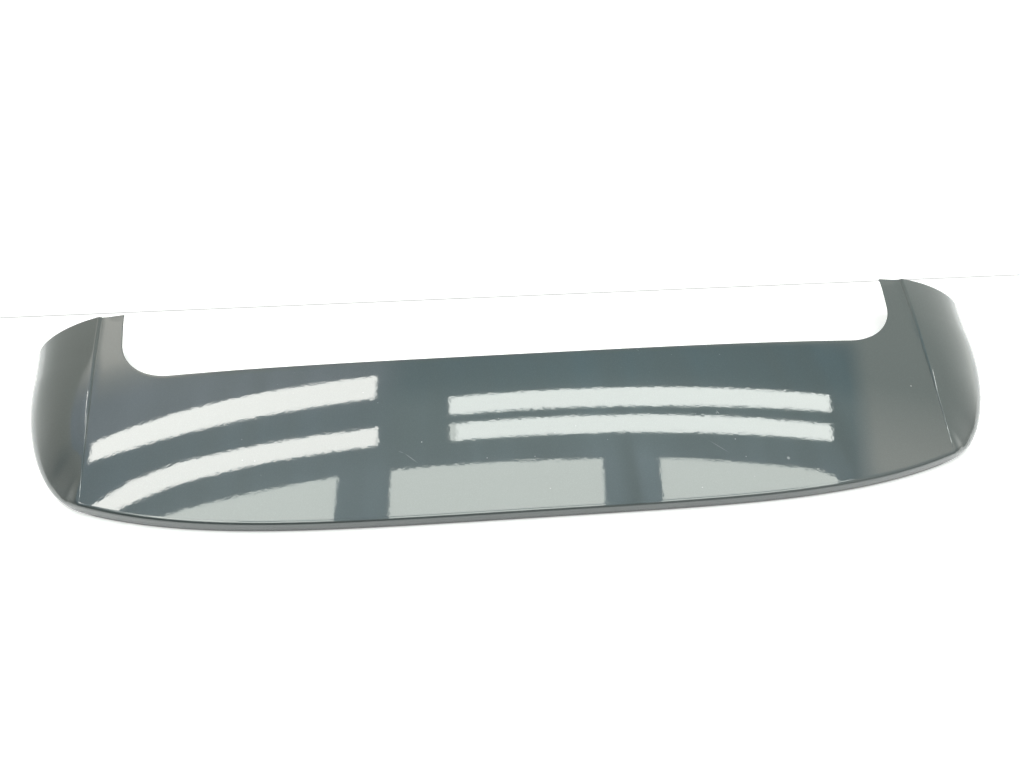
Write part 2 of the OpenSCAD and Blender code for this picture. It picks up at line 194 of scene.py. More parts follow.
def roll(a, r, power=2, slope=0):
    """How far the edge has come down, from 0 at the skin to 1 at the rim."""
    c = corner_t(a)
    k = ease(c * WING_START)
    s = mix(slope, WING_SLOPE + WING_FALL * (1 - c) ** 2, k)
    return s * r + (1 - s) * (1 - np.sqrt(np.maximum(0, 1 - r ** mix(power, WING_POWER, k))))


def bulged(a, p):
    i, o = inner_pt(a), rim_pt(a)
    s = length(p - i) / length(o - i)
    return xy(p[..., 0], p[..., 1] + EAR_BULGE * ear_t(a) ** 2 * np.sin(np.pi * np.minimum(1, s)))


def step_width(a):
    return mix(MIN_STEP_W, STEP_W, along(a))


def wing_plan(a, r):
    o = rim_pt(a)
    return mix(crease_pt(a) + step_width(a)[..., None] * unit(o - inner_pt(a)), o, r[..., None])


def wing_z(a, r, *edge):
    z = rim_z(a)
    return z + (skin_z(wing_plan(a, np.zeros_like(a))) - z) * (1 - roll(a, r, *edge))


def with_z(p, z):
    return np.concatenate([p, z[..., None]], -1)


def step_height(a):
    return STEP_H * along(a) ** STEP_POWER


def wing_point(a, r, proud, *edge):
    z = wing_z(a, r, *edge) + proud * step_height(a) * (1 - r) ** 2
    return with_z(bulged(a, wing_plan(a, r)), z)


def skin_width(a):
    return length(inner_pt(a) - crease_pt(a))


def toe(a, t):
    reach = ease((along(a) - TOE_FROM) / TOE_RUN)
    return TOE_SHARE * step_height(a) * reach * np.maximum(0, 1 - t * skin_width(a) / TOE_W) ** 2


def skin_point(a, t, proud=1):
    b = bulged(a, mix(crease_pt(a), inner_pt(a), t[..., None]))
    return with_z(b, skin_z(b) + proud * toe(a, t))


def flange_lean(a):
    return FLANGE_LEAN * ease((a - LEAN_FROM) / LEAN_RUN)


def section_dir(a):
    return unit(inner_pt(a) - rim_pt(a))


def from_rim(a, d):
    return rim_pt(a) + np.asarray(d)[..., None] * section_dir(a)


def from_notch(a, d):
    return inner_pt(a) - np.asarray(d)[..., None] * section_dir(a)


def at_y(a, y):
    i, o = inner_pt(a), rim_pt(a)
    return mix(o, i, ((y - o[..., 1]) / (i[..., 1] - o[..., 1]))[..., None])


# Mesh helpers.

# The largest share of the way to the next point that a bend takes up; the angle of a sharp edge.
BEND_LIMIT, SHARP = 0.45, 38


def arc(before, corner, after, steps):
    """Points of a smooth bend from one point to another round a corner, ends included."""
    t = np.linspace(0, 1, steps + 1)
    return [(1 - k) ** 2 * before + 2 * k * (1 - k) * corner + k * k * after for k in t]


def rounded(points, trims, steps):
    """Points of an open line, with each inner corner bent over the trim distance that is given."""
    out = [points[0]]
    for k in range(1, len(points) - 1):
        before, here, after = points[k - 1], points[k], points[k + 1]
        if not trims[k]:
            out.append(here)
            continue
        d0 = np.minimum(trims[k], BEND_LIMIT * length(before - here))[..., None]
        d1 = np.minimum(trims[k], BEND_LIMIT * length(after - here))[..., None]
        out += arc(here + d0 * unit(before - here), here, here + d1 * unit(after - here), steps)
    return out + [points[-1]]


def face_normals(g):
    return unit(np.cross(np.gradient(g, axis=0), np.gradient(g, axis=1)))


def mirrored(rows):
    """Rows of both halves from the rows of one, whose first row lies on the centre line."""
    other = rows[:0:-1].copy()
    other[..., 0] *= -1
    return np.concatenate([other, rows])


def loop_mesh(name, rows, end_pairs):
    """A closed skin over a stack of closed loops; end_pairs close each end like a zip."""
    m, n = rows.shape[:2]
    verts = rows.reshape(-1, 3).copy()
    verts[:, 1] -= DEPTH / 2
    i, k = np.meshgrid(np.arange(m - 1), np.arange(n), indexing="ij")
    a, b = i * n + k, i * n + (k + 1) % n
    faces = np.stack([a, b, b + n, a + n], -1).reshape(-1, 4).tolist()
    last = (m - 1) * n
    for (p, q), (r, s) in zip(end_pairs[:-1], end_pairs[1:]):
        ring = [p, q, s, r]
        ring = [v for j, v in enumerate(ring) if v != ring[j - 1]]
        if len(ring) > 2:
            faces.append(ring[::-1])
            faces.append([last + v for v in ring])
    return new_mesh(name, verts.tolist(), faces)


def new_mesh(name, verts, faces, sharp=SHARP):
    mesh = bpy.data.meshes.new(name)
    mesh.from_pydata(verts, [], faces)
    bm = bmesh.new()
    bm.from_mesh(mesh)
    bmesh.ops.recalc_face_normals(bm, faces=bm.faces)
    bm.to_mesh(mesh)
    bm.free()
    smooth(mesh, sharp)
    obj = bpy.data.objects.new(name, mesh)
    bpy.context.scene.collection.objects.link(obj)
    return obj


def smooth(mesh, sharp):
    mesh.polygons.foreach_set("use_smooth", [True] * len(mesh.polygons))
    mesh.set_sharp_from_angle(angle=math.radians(sharp))


def zip_pairs(first, second):
    """Pairs of indices that walk along two lists together, one step at a time."""
    pairs, i, j = [(first[0], second[0])], 0, 0
    while i < len(first) - 1 or j < len(second) - 1:
        behind = (i + 1) / len(first) <= (j + 1) / len(second)
        if behind and i < len(first) - 1 or j == len(second) - 1:
            i += 1
        else:
            j += 1
        pairs.append((first[i], second[j]))
    return pairs


# Upper shell.

# Numbers of sections along the blade, round the corner, along the ear and over the front's bend.
BLADE_SECTIONS, CORNER_SECTIONS, EAR_SECTIONS, FRONT_SECTIONS = 40, 96, 26, 7
WING_LINES, SKIN_LINES, SKIN_CROWD = 38, 44, 1.25
INNER_WING, INNER_SKIN = 14, 12
NOTCH_ROUND, FRONT_ROUND, BEND_STEPS, FOOT_STEPS = 1.5 * MM, 1.2 * MM, 5, 3
# Power and slope of the roll at the lip, where the outer face turns down to the joint line.
LIP_ROLL = (5, 0.2)
# The step's shoulder and the groove at its foot, mostly as shares of the step's width or height.
STEP_TRIM, SHOULDER_WIDTH, SHOULDER_HEIGHT = 0.2, 0.1, 0.38
GROOVE, GROOVE_MAX, GROOVE_RUN, GROOVE_LEAD = 0.2, 0.5 * MM, 1.0 * MM, 0.2 * MM
# Shares of the way from one corner of the step to the next at which the bends start and end.
PEAK_END, SHOULDER_START, SHOULDER_END, FOOT_START, FOOT_END = 0.25, 0.8, 0.4, 0.8, 0.3
# The front wall's thickness and the front bend's run, counted in sections.
FRONT_WALL = WALL * EAR_N / SIDE_RUN
FRONT_RUN = FRONT_ROUND * EAR_N / SIDE_RUN
LAST_PLAIN, TINY = 1.1 * FRONT_WALL, 1e-9


def upper_sections():
    corner_end = BLADE_N + CORNER_N
    front = HALF_N - FRONT_RUN * (1 - np.sin(np.linspace(0, np.pi / 2, FRONT_SECTIONS)))
    return np.concatenate([
        np.linspace(0, BLADE_N, BLADE_SECTIONS),
        np.linspace(BLADE_N, corner_end, CORNER_SECTIONS)[1:],
        np.linspace(corner_end, HALF_N - LAST_PLAIN, EAR_SECTIONS)[1:],
        np.array([HALF_N - FRONT_WALL]), front])


def outer_face(a, flange_foot):
    """The winglet from the rim up, the step, the groove at its foot, the skin, the notch's bend."""
    zero = np.zeros_like(a)
    across = skin_width(a)
    first_r = STEP_TRIM * step_width(a) / length(rim_pt(a) - wing_plan(a, zero))
    first_t = np.arcsin(first_r) * 2 / np.pi
    wing_r = [np.sin(np.pi / 2 * mix(first_t, 1, k)) for k in np.linspace(1, 0, WING_LINES)]
    outer = [wing_point(a, r, 1, *LIP_ROLL) for r in wing_r]

    peak, foot = wing_point(a, zero, 1), skin_point(a, zero)
    drop = peak[:, 2] - foot[:, 2]
    shoulder = mix(foot, peak, SHOULDER_WIDTH)
    shoulder[:, 2] = foot[:, 2] + SHOULDER_HEIGHT * drop
    foot[:, 2] -= np.clip(GROOVE * drop, 0, GROOVE_MAX)
    outer += arc(outer[-1], peak, mix(peak, shoulder, PEAK_END), BEND_STEPS)[1:]
    outer += arc(mix(peak, shoulder, SHOULDER_START), shoulder,
                 mix(shoulder, foot, SHOULDER_END), BEND_STEPS)
    beside = (GROOVE_RUN * along(a) + GROOVE_LEAD) / across
    outer += arc(mix(shoulder, foot, FOOT_START), foot,
                 mix(foot, skin_point(a, beside), FOOT_END), FOOT_STEPS)

    stop = 1 - NOTCH_ROUND / across
    shares = np.linspace(0, 1, SKIN_LINES) ** SKIN_CROWD
    outer += [skin_point(a, mix(beside, stop, k)) for k in shares]
    edge = skin_point(a, zero + 1)
    flange_top = edge + NOTCH_ROUND * unit(flange_foot - edge)
    outer += arc(outer[-1], edge, flange_top, BEND_STEPS)[1:]
    outer = np.stack(outer, 1)

    # The front end bends down over a small radius.
    bend = np.clip((a - (HALF_N - FRONT_RUN)) / FRONT_RUN, 0, 1)
    outer[..., 2] -= (FRONT_ROUND * (1 - np.sqrt(1 - bend**2)))[:, None]
    return outer


def inner_face(a, turned):
    """The skin without the step, one wall inside; its turned sections close the front end."""
    zero = np.zeros_like(a)
    wing_r = np.sin(np.pi / 2 * np.linspace(1, 0, INNER_WING))
    inside = 1 - LEAN_ROOM * flange_lean(a) / skin_width(a)
    base = np.stack([wing_point(a, zero + r, 0) for r in wing_r]
                    + [skin_point(a, inside * k, 0) for k in np.linspace(0, 1, INNER_SKIN)], 1)
    mirror_row = base[1].copy()
    mirror_row[:, 0] *= -1
    normal = face_normals(np.concatenate([mirror_row[None], base]))[1:]
    normal *= np.sign(normal[BLADE_SECTIONS // 4, INNER_WING + INNER_SKIN // 2, 2])
    inner = base - WALL * normal
    rim_low = base[:, 0, 2]
    dropped = np.maximum(rim_low[:, None], inner[..., 2] - FLANGE_H + WALL)
    inner[turned, :, 2] = dropped[turned]
    inner[turned, :, :2] = base[turned, :, :2]
    return inner, rim_low


def upper_skin():
    a = upper_sections()
    zero = np.zeros_like(a)
    turned = a >= HALF_N - FRONT_WALL - TINY
    lean = flange_lean(a)
    notch_z = skin_point(a, zero + 1)[:, 2]
    low = notch_z - FLANGE_H
    flange_out = with_z(from_notch(a, lean), low)
    flange_in = with_z(from_notch(a, lean + np.where(turned, WALL / 2, WALL)), low)
    notch_in = with_z(from_notch(a, lean * np.where(turned, 1, WALL / FLANGE_H) + WALL),
                      np.where(turned, low, notch_z - WALL))
    outer = outer_face(a, flange_out)
    inner, rim_low = inner_face(a, turned)
    rim_in = with_z(from_rim(a, zero + WALL), rim_low)
    rows = np.concatenate([outer, np.stack([flange_out, flange_in, notch_in], 1),
                           inner[:, -2:0:-1], rim_in[:, None]], 1)
    rows[0, :, 0] = 0
    n_out, n_all = outer.shape[1] + 1, rows.shape[1]
    pairs = zip_pairs(list(range(n_out)), list(range(n_all - 1, n_out - 1, -1)))
    return loop_mesh("upper_skin", mirrored(rows), pairs)


# Lower shell.
PAN_END, PAN_BLADE_SECTIONS, PAN_CORNER_SECTIONS = LEAN_FROM, 60, 20
LIP_RECESS, LIP_ROUND, LIP_FOOT, LIP_CORNER = 0.4 * MM, 1.5 * MM, 10 * MM, 0.35 * MM
TONGUE, FLOOR_START, LEDGE_W = (5 * MM, 13 * MM), 16 * MM, 14 * MM
LEDGE_T = FLANGE_H - WALL - BOND_GAP
LAND_BACK, LAND_FRONT = STUD_ROW - LAND_W / 2, STUD_ROW + LAND_W / 2
LAND_RAMP, LAND_DROP = 12 * MM, 9 * MM
PAN_BEND, TONGUE_BEND, TOP_STEPS, UNDER_STEPS, CORNER_STEPS = 3 * MM, 1 * MM, 4, 5, 3
UP = np.array([0, 0, 1.0])


def under_skin(p):
    return skin_z(p) - WALL - BOND_GAP


def under_roof(a, d):
    """Height just under the upper shell, at a distance from the rim."""
    d = max(0, d - WALL)
    w = length(rim_pt(a) - wing_plan(a, np.zeros_like(a)))
    on_wing = wing_z(a, np.maximum(0, 1 - d / w))
    return np.where(d < w, on_wing, skin_z(from_rim(a, np.full_like(a, d)))) - WALL - BOND_GAP


def pan_sections():
    return np.concatenate([np.linspace(0, BLADE_N, PAN_BLADE_SECTIONS),
                           np.linspace(BLADE_N, PAN_END, PAN_CORNER_SECTIONS)[1:]])


def lower_pan():
    a = pan_sections()
    one = np.ones_like(a)
    top = rim_z(a) - JOINT_GAP
    ledge_back = from_notch(a, LEDGE_W * one)
    ledge_front = from_notch(a, (WALL + BOND_GAP) * one)
    ramp = at_y(a, LAND_BACK - LAND_RAMP)
    ramp_z = LAND_H - LAND_DROP
    floor_z = ramp_z * (FLOOR_START - LIP_FOOT) / (length(ramp - rim_pt(a)) - LIP_FOOT)
    rim = lambda d: from_rim(a, d * one)
    upper = [
        with_z(rim(WALL + BOND_GAP), top),
        with_z(rim(TONGUE[0]), under_roof(a, TONGUE[0])),
        with_z(rim(TONGUE[1]), under_roof(a, TONGUE[1])),
        with_z(rim(FLOOR_START), floor_z + PAN_WALL),
        with_z(ramp, (ramp_z + PAN_WALL) * one),
        with_z(at_y(a, LAND_BACK), (LAND_H + PAN_WALL) * one),
        with_z(at_y(a, LAND_FRONT), (LAND_H + PAN_WALL) * one),
        with_z(ledge_back, under_skin(ledge_back)),
        with_z(ledge_front, under_skin(ledge_front))]
    lower = [
        with_z(ledge_front, under_skin(ledge_front) - LEDGE_T),
        with_z(ledge_back, under_skin(ledge_back) - LEDGE_T),
        with_z(at_y(a, LAND_FRONT), LAND_H * one),
        with_z(at_y(a, LAND_BACK), LAND_H * one),
        with_z(ramp, ramp_z * one),
        with_z(rim(LIP_FOOT), 0 * one),
        with_z(rim(LIP_RECESS), 0 * one),
        with_z(rim(LIP_RECESS), top)]
    upper = rounded(upper, [0] + [TONGUE_BEND] * 2 + [PAN_BEND] * 5 + [0], TOP_STEPS)
    lower = rounded(lower, [0] + [PAN_BEND] * 5 + [LIP_ROUND, 0], UNDER_STEPS)
    corner = lower.pop()
    inward = with_z(section_dir(a), 0 * a)
    lower += arc(corner - LIP_CORNER * UP, corner, corner + LIP_CORNER * inward, CORNER_STEPS)
    rows = np.stack(upper + lower, 1)
    n_up, n_all = len(upper), len(upper) + len(lower)
    pairs = zip_pairs(list(range(n_up)), list(range(n_all - 1, n_up - 1, -1)))
    return with_holes_and_stakes(loop_mesh("lower_pan", mirrored(rows), pairs))


STUD_Y = STUD_ROW - DEPTH / 2
STUD_PLACES = [(x / 2, STUD_Y) for x in (-OUTER_STUDS, -INNER_STUDS, INNER_STUDS, OUTER_STUDS)]
HOLE_R, HOLE_SIDES, HOLE_REACH = STUD_D / 2 + NECK_STEP + HOLE_GAP, 48, 2 * MM
STAKE_R, STAKE_X, STAKE_SIDES = 2 * MM, 16 * MM, 32
STAKE_FOOT, STAKE_TOP = LAND_H + PAN_WALL / 2, LAND_H + PAN_WALL + 3 * MM


def add_drum(bm, x, y, low, high, radius, sides):
    """Adds an upright cylinder that reaches from one height to another."""
    bmesh.ops.create_cone(bm, cap_ends=True, segments=sides, radius1=radius, radius2=radius,
                          depth=high - low, matrix=Matrix.Translation((x, y, (low + high) / 2)))


def with_holes_and_stakes(obj):
    """Cuts the holes that the studs pass through and sets two heat stakes beside each."""
    bm = bmesh.new()
    for x, y in STUD_PLACES:
        add_drum(bm, x, y, LAND_H - HOLE_REACH, LAND_H + PAN_WALL + HOLE_REACH, HOLE_R, HOLE_SIDES)
    mesh = bpy.data.meshes.new("hole_tool")
    bm.to_mesh(mesh)
    bm.free()
    tool = bpy.data.objects.new("hole_tool", mesh)
    bpy.context.scene.collection.objects.link(tool)
    cut = obj.modifiers.new("holes", "BOOLEAN")
    cut.operation, cut.solver, cut.object = "DIFFERENCE", "EXACT", tool
    bpy.context.view_layer.update()
    evaluated = obj.evaluated_get(bpy.context.evaluated_depsgraph_get())
    result = bpy.data.meshes.new_from_object(evaluated)
    obj.modifiers.clear()
    bpy.data.objects.remove(tool)

    bm = bmesh.new()
    bm.from_mesh(result)
    for x, y in STUD_PLACES:
        for side in (-STAKE_X, STAKE_X):
            add_drum(bm, x + side, y, STAKE_FOOT, STAKE_TOP, STAKE_R, STAKE_SIDES)
    bmesh.ops.triangulate(bm, faces=[f for f in bm.faces if len(f.verts) > 4])
    bm.to_mesh(result)
    bm.free()
    obj.data = result
    smooth(obj.data, SHARP)
    return obj


# Foam.

# Rounding of the seal's glued edges, of its free edges and of the bends between those.
SEAL_GLUED, SEAL_FREE, SEAL_BEND, SEAL_STEPS = 0.8 * MM, 1.6 * MM, 1 * MM, 4
# Depth of the free face's sink, where across the face it lies, and its waves along the seal.
SEAL_SINK, SEAL_SPOTS, SEAL_WAVES, SEAL_SHIFT = 0.25 * MM, (0.7, 0.3), (9.0, 4.3), 1.0


def foam_seal():
    """The strip under the ledge: rounded edges, and a free face that is sunk a little, unevenly."""
    a = pan_sections()
    one = np.ones_like(a)
    back, front = from_notch(a, (SEAL_INSET + SEAL_W) * one), from_notch(a, SEAL_INSET * one)
    back_z, front_z = [under_skin(p) - LEDGE_T - BOND_GAP for p in (back, front)]
    top_back, top_front = with_z(back, back_z), with_z(front, front_z)
    low_back, low_front = with_z(back, back_z - SEAL_T), with_z(front, front_z - SEAL_T)
    wave = np.sin(a * SEAL_WAVES[0]) * np.sin(a * SEAL_WAVES[1] + SEAL_SHIFT)
    sink = SEAL_SINK * (0.5 + 0.5 * wave)[:, None]
    sunk = [mix(low_back, low_front, k) + sink * UP for k in SEAL_SPOTS]
    start = mix(top_back, top_front, 0.5)
    ring = [start, top_front, mix(top_front, low_front, 0.5), low_front, *sunk,
            low_back, mix(low_back, top_back, 0.5), top_back, start]
    trims = [0, SEAL_GLUED, 0, SEAL_FREE, SEAL_BEND, SEAL_BEND, SEAL_FREE, 0, SEAL_GLUED, 0]
    rows = np.stack(rounded(ring, trims, SEAL_STEPS)[:-1], 1)
    n = rows.shape[1]
    pairs = zip_pairs(list(range(n // 2)), list(range(n - 1, n // 2 - 1, -1)))
    return loop_mesh("foam_seal", mirrored(rows), pairs)


def revolve(profile, segments, centre):
    """Verts and faces of a closed profile (r, z) turned round a vertical line."""
    verts, faces = [], []
    n = len(profile)
    for k in range(segments):
        t = 2 * math.pi * k / segments
        verts += [(centre[0] + r * math.cos(t), centre[1] + r * math.sin(t), z) for r, z in profile]
        here, after = k * n, (k + 1) % segments * n
        for j in range(n):
            faces.append([here + j, here + (j + 1) % n, after + (j + 1) % n, after + j])
    return verts, faces


def joined(name, parts, sharp=SHARP):
    verts, faces = [], []
    for v, f in parts:
        faces += [[len(verts) + k for k in face] for face in f]
        verts += v
    return new_mesh(name, verts, faces, sharp)


def round_rect(r0, r1, z0, z1, radius, steps):
    """Outline of a rectangle with rounded corners."""
    out = []
    for cx, cz, start in ((r1, z1, 0), (r0, z1, 90), (r0, z0, 180), (r1, z0, 270)):
        ox = cx - radius if cx == r1 else cx + radius
        oz = cz - radius if cz == z1 else cz + radius
        for k in range(steps + 1):
            t = math.radians(start + 90 * k / steps)
            out.append((ox + radius * math.cos(t), oz + radius * math.sin(t)))
    return out


RING_R, RING_ROUND, RING_STEPS, RING_SIDES = 12 * MM, 0.7 * MM, 4, 56


def foam_rings():
    profile = round_rect(HOLE_R, RING_R, LAND_H - FOAM_T, LAND_H, RING_ROUND, RING_STEPS)
    return joined("foam_rings", [revolve(profile, RING_SIDES, p) for p in STUD_PLACES])


PAD_X, PAD_Y, PAD_OFFSET = 70 * MM, 30 * MM, (INNER_STUDS + OUTER_STUDS) / 4
PAD_CELLS_X, PAD_CELLS_Y = 46, 22
# How far in the edge's rounding reaches and its share of the height; the sink; the unevenness.
PAD_ROUND, PAD_ROUND_SHARE = 2.4 * MM, 0.42
PAD_SINK, PAD_ROUGH, PAD_WAVES = 0.35 * MM, 0.08 * MM, (37, 23)


def pad_faces():
    """Faces of a sheet of cells, of the same sheet above it, and of the border between the two."""
    nx, ny, row = PAD_CELLS_X, PAD_CELLS_Y, PAD_CELLS_Y + 1
    shift = (nx + 1) * row
    faces = []
    for i in range(nx):
        for j in range(ny):
            q = [i * row + j, (i + 1) * row + j, (i + 1) * row + j + 1, i * row + j + 1]
            faces += [q, [shift + k for k in q[::-1]]]
    border = [i * row for i in range(nx)] + [nx * row + j for j in range(ny)]
    border += [i * row + ny for i in range(nx, 0, -1)] + list(range(ny, 0, -1))
    for p, q in zip(border, border[1:] + border[:1]):
        faces.append([p, q, shift + q, shift + p])
    return faces


def foam_pads():
    """Three pads: rounded edges, a slightly sunk middle and a faint unevenness."""
    u, v = np.meshgrid(np.linspace(-1, 1, PAD_CELLS_X + 1), np.linspace(-1, 1, PAD_CELLS_Y + 1),
                       indexing="ij")
    x, y = u * PAD_X / 2, v * PAD_Y / 2
    inset = np.minimum(PAD_X / 2 - np.abs(x), PAD_Y / 2 - np.abs(y))
    rise = np.sqrt(np.clip(1 - (1 - np.minimum(1, inset / PAD_ROUND)) ** 2, 0, 1))
    sink = PAD_SINK * np.cos(np.pi / 2 * u) * np.cos(np.pi / 2 * v)
    parts = []
    for index, x0 in enumerate((-PAD_OFFSET, 0, PAD_OFFSET)):
        rough = PAD_ROUGH * np.sin(PAD_WAVES[0] * u + index) * np.sin(PAD_WAVES[1] * v + 2 * index)
        bottom = (LAND_H - FOAM_T + (1 - rise) * FOAM_T * PAD_ROUND_SHARE
                  + (sink + np.abs(rough)) * rise)
        verts = []
        for z in (bottom, np.full_like(x, LAND_H)):
            verts += np.stack([x + x0, y + STUD_Y, z], -1).reshape(-1, 3).tolist()
        parts.append((verts, pad_faces()))
    return joined("foam_pads", parts)


# Studs.
STUD_SIDES, STUD_SHARP, STUD_CHAMFER = 40, 50, 0.8 * MM
THREAD_PITCH, THREAD_DEPTH, THREAD_STEPS = 1 * MM, 0.55 * MM, 8
# Steepness and width of the thread's flat crests, and how it gets shallower towards the neck.
THREAD_GAIN, THREAD_CREST, THREAD_FADE, THREAD_LAST = 1.25, 0.12, 1.5 * THREAD_PITCH, 0.35
HEAD_R, HEAD_T, HEAD_LOW_EDGE, HEAD_TOP_EDGE = 7 * MM, 2 * MM, 0.3 * MM, 0.4 * MM


def stud_rings(around):
    """Height and radii of each ring of a stud, from its tip up: thread, neck and head."""
    tip_z, neck_z, head_z = LAND_H - STUD_LEN, LAND_H - FOAM_T, LAND_H + PLATE_T + PAN_WALL
    r = STUD_D / 2
    rings = []
    for z in np.arange(tip_z, neck_z, THREAD_PITCH / THREAD_STEPS):
        phase = (z / THREAD_PITCH - around / (2 * math.pi)) % 1
        cut = np.clip(THREAD_GAIN * np.abs(2 * phase - 1) - THREAD_CREST, 0, 1)
        fade = min(1, max(0, (neck_z - z) / THREAD_FADE))
        limit = r - STUD_CHAMFER * (1 - min(1, (z - tip_z) / STUD_CHAMFER))
        rings.append((z, np.minimum(r - THREAD_DEPTH * cut * mix(THREAD_LAST, 1, fade), limit)))
    collar = r + NECK_STEP
    for z, radius in ((neck_z, r), (neck_z + NECK_STEP, collar), (head_z, collar),
                      (head_z, HEAD_R - HEAD_LOW_EDGE), (head_z + HEAD_LOW_EDGE, HEAD_R),
                      (head_z + HEAD_T - HEAD_TOP_EDGE, HEAD_R),
                      (head_z + HEAD_T, HEAD_R - HEAD_TOP_EDGE)):
        rings.append((z, np.full_like(around, radius)))
    return rings


def threaded_studs():
    n = STUD_SIDES
    around = 2 * math.pi * np.arange(n) / n
    rings = stud_rings(around)
    top = (len(rings) - 1) * n
    faces = [[lo + k, lo + (k + 1) % n, lo + n + (k + 1) % n, lo + n + k]
             for lo in range(0, top, n) for k in range(n)]
    faces += [list(range(n))[::-1], [top + k for k in range(n)]]
    parts = []
    for cx, cy in STUD_PLACES:
        parts.append(([(cx + q * math.cos(s), cy + q * math.sin(s), z)
                       for z, radii in rings for q, s in zip(radii, around)], faces))
    return joined("threaded_studs", parts, STUD_SHARP)


# Materials.
class Nodes:
    """A short way to write the nodes of a material or of the world."""

    def __init__(self, owner, output="ShaderNodeOutputMaterial"):
        owner.use_nodes = True
        self.owner, self.tree = owner, owner.node_tree
        self.tree.nodes.clear()
        self.out = self.add(output)

    def add(self, kind, inputs=None, **settings):
        node = self.tree.nodes.new(kind)
        for key, value in settings.items():
            setattr(node, key, value)
        for key, value in (inputs or {}).items():
            socket = node.inputs[key]
            if isinstance(value, bpy.types.NodeSocket):
                self.tree.links.new(value, socket)
            else:
                socket.default_value = value
        return node

    def close(self, shader):
        """Makes the shader the surface, and gives back the material or the world."""
        self.tree.links.new(shader.outputs[0], self.out.inputs["Surface"])
        return self.owner

    def coordinates(self, kind="Object"):
        return self.add("ShaderNodeTexCoord").outputs[kind]

    def split(self, vector):
        return self.add("ShaderNodeSeparateXYZ", {0: vector}).outputs

    def noise(self, scale, detail=2.0, roughness=0.5, stretch=None):
        place = self.coordinates()
        if stretch:
            place = self.add("ShaderNodeMapping", {"Vector": place, "Scale": stretch}).outputs[0]
        return self.add("ShaderNodeTexNoise", {"Vector": place, "Scale": scale, "Detail": detail,
                                              "Roughness": roughness}).outputs["Fac"]

    def cells(self, scale):
        return self.add("ShaderNodeTexVoronoi", {"Vector": self.coordinates(), "Scale": scale})

    def ramp(self, value, low, high, out_low, out_high):
        return self.add("ShaderNodeMapRange", {
            "Value": value, "From Min": low, "From Max": high,
            "To Min": out_low, "To Max": out_high}).outputs["Result"]

    def rise(self, value, low, high):
        return self.ramp(value, low, high, 0.0, 1.0)

    def fall(self, value, low, high):
        return self.ramp(value, low, high, 1.0, 0.0)

    def blend(self, factor, first, second):
        inputs = {0: factor, 6: first, 7: second}
        return self.add("ShaderNodeMix", inputs, data_type="RGBA").outputs[2]

    def maths(self, operation, first, second=0.0):
        return self.add("ShaderNodeMath", {0: first, 1: second}, operation=operation).outputs[0]

    def times(self, first, *others):
        for other in others:
            first = self.maths("MULTIPLY", first, other)
        return first

    def bump(self, height, strength, distance, normal=None):
        inputs = {"Height": height, "Strength": strength, "Distance": distance}
        if normal is not None:
            inputs["Normal"] = normal
        return self.add("ShaderNodeBump", inputs).outputs["Normal"]

    def glow(self, colour, strength):
        return self.add("ShaderNodeEmission", {"Color": colour, "Strength": strength})

    def surface(self, **inputs):
        inputs = {key.replace("_", " "): value for key, value in inputs.items()}
        return self.close(self.add("ShaderNodeBsdfPrincipled", inputs))


def material_nodes(name):
    return Nodes(bpy.data.materials.new(name))


def opaque(colour):
    return tuple(colour) + (1,)


PAINT_DARK, PAINT_LIGHT = opaque((0.05, 0.064, 0.065)), opaque((0.056, 0.069, 0.068))
FLAKE_COLOUR, FLAKE_SCALE, FLAKE_SHARE = opaque((0.11, 0.13, 0.13)), 2600.0, 0.3
DUST_COLOUR, DUST_SCALE, DUST_SHARE = opaque((0.42, 0.43, 0.42)), 95.0, 0.4
COAT_ROUGHNESS, COAT_IOR, PAINT_METAL, WEAR_ROUGHNESS = 0.025, 1.7, 0.4, 0.05
PEEL_STRENGTH, PEEL_DEPTH = 0.07, 0.2 * MM
# Scale and detail of the paint's noises; the last one is rougher and drawn out along y.
PAINT_CLOUD, DUST_CLOUD, PEEL = (2.2, 3.0), (14.0, 1.0), (230.0, 2.0)
WEAR = (160.0, 3.0, 0.6, (1, 0.12, 1))
# Where cells or noise count as a flake, as a speck, as a dusty or a worn place, and noise's middle.
FLAKE_FROM, SPECK_EDGE, DUSTY, WORN = 0.7, (0.03, 0.06), (0.62, 0.65), (0.62, 0.75)
MIDDLE, PAINT_SMOOTH, PAINT_ROUGH = (0.3, 0.7), 0.46, 0.5

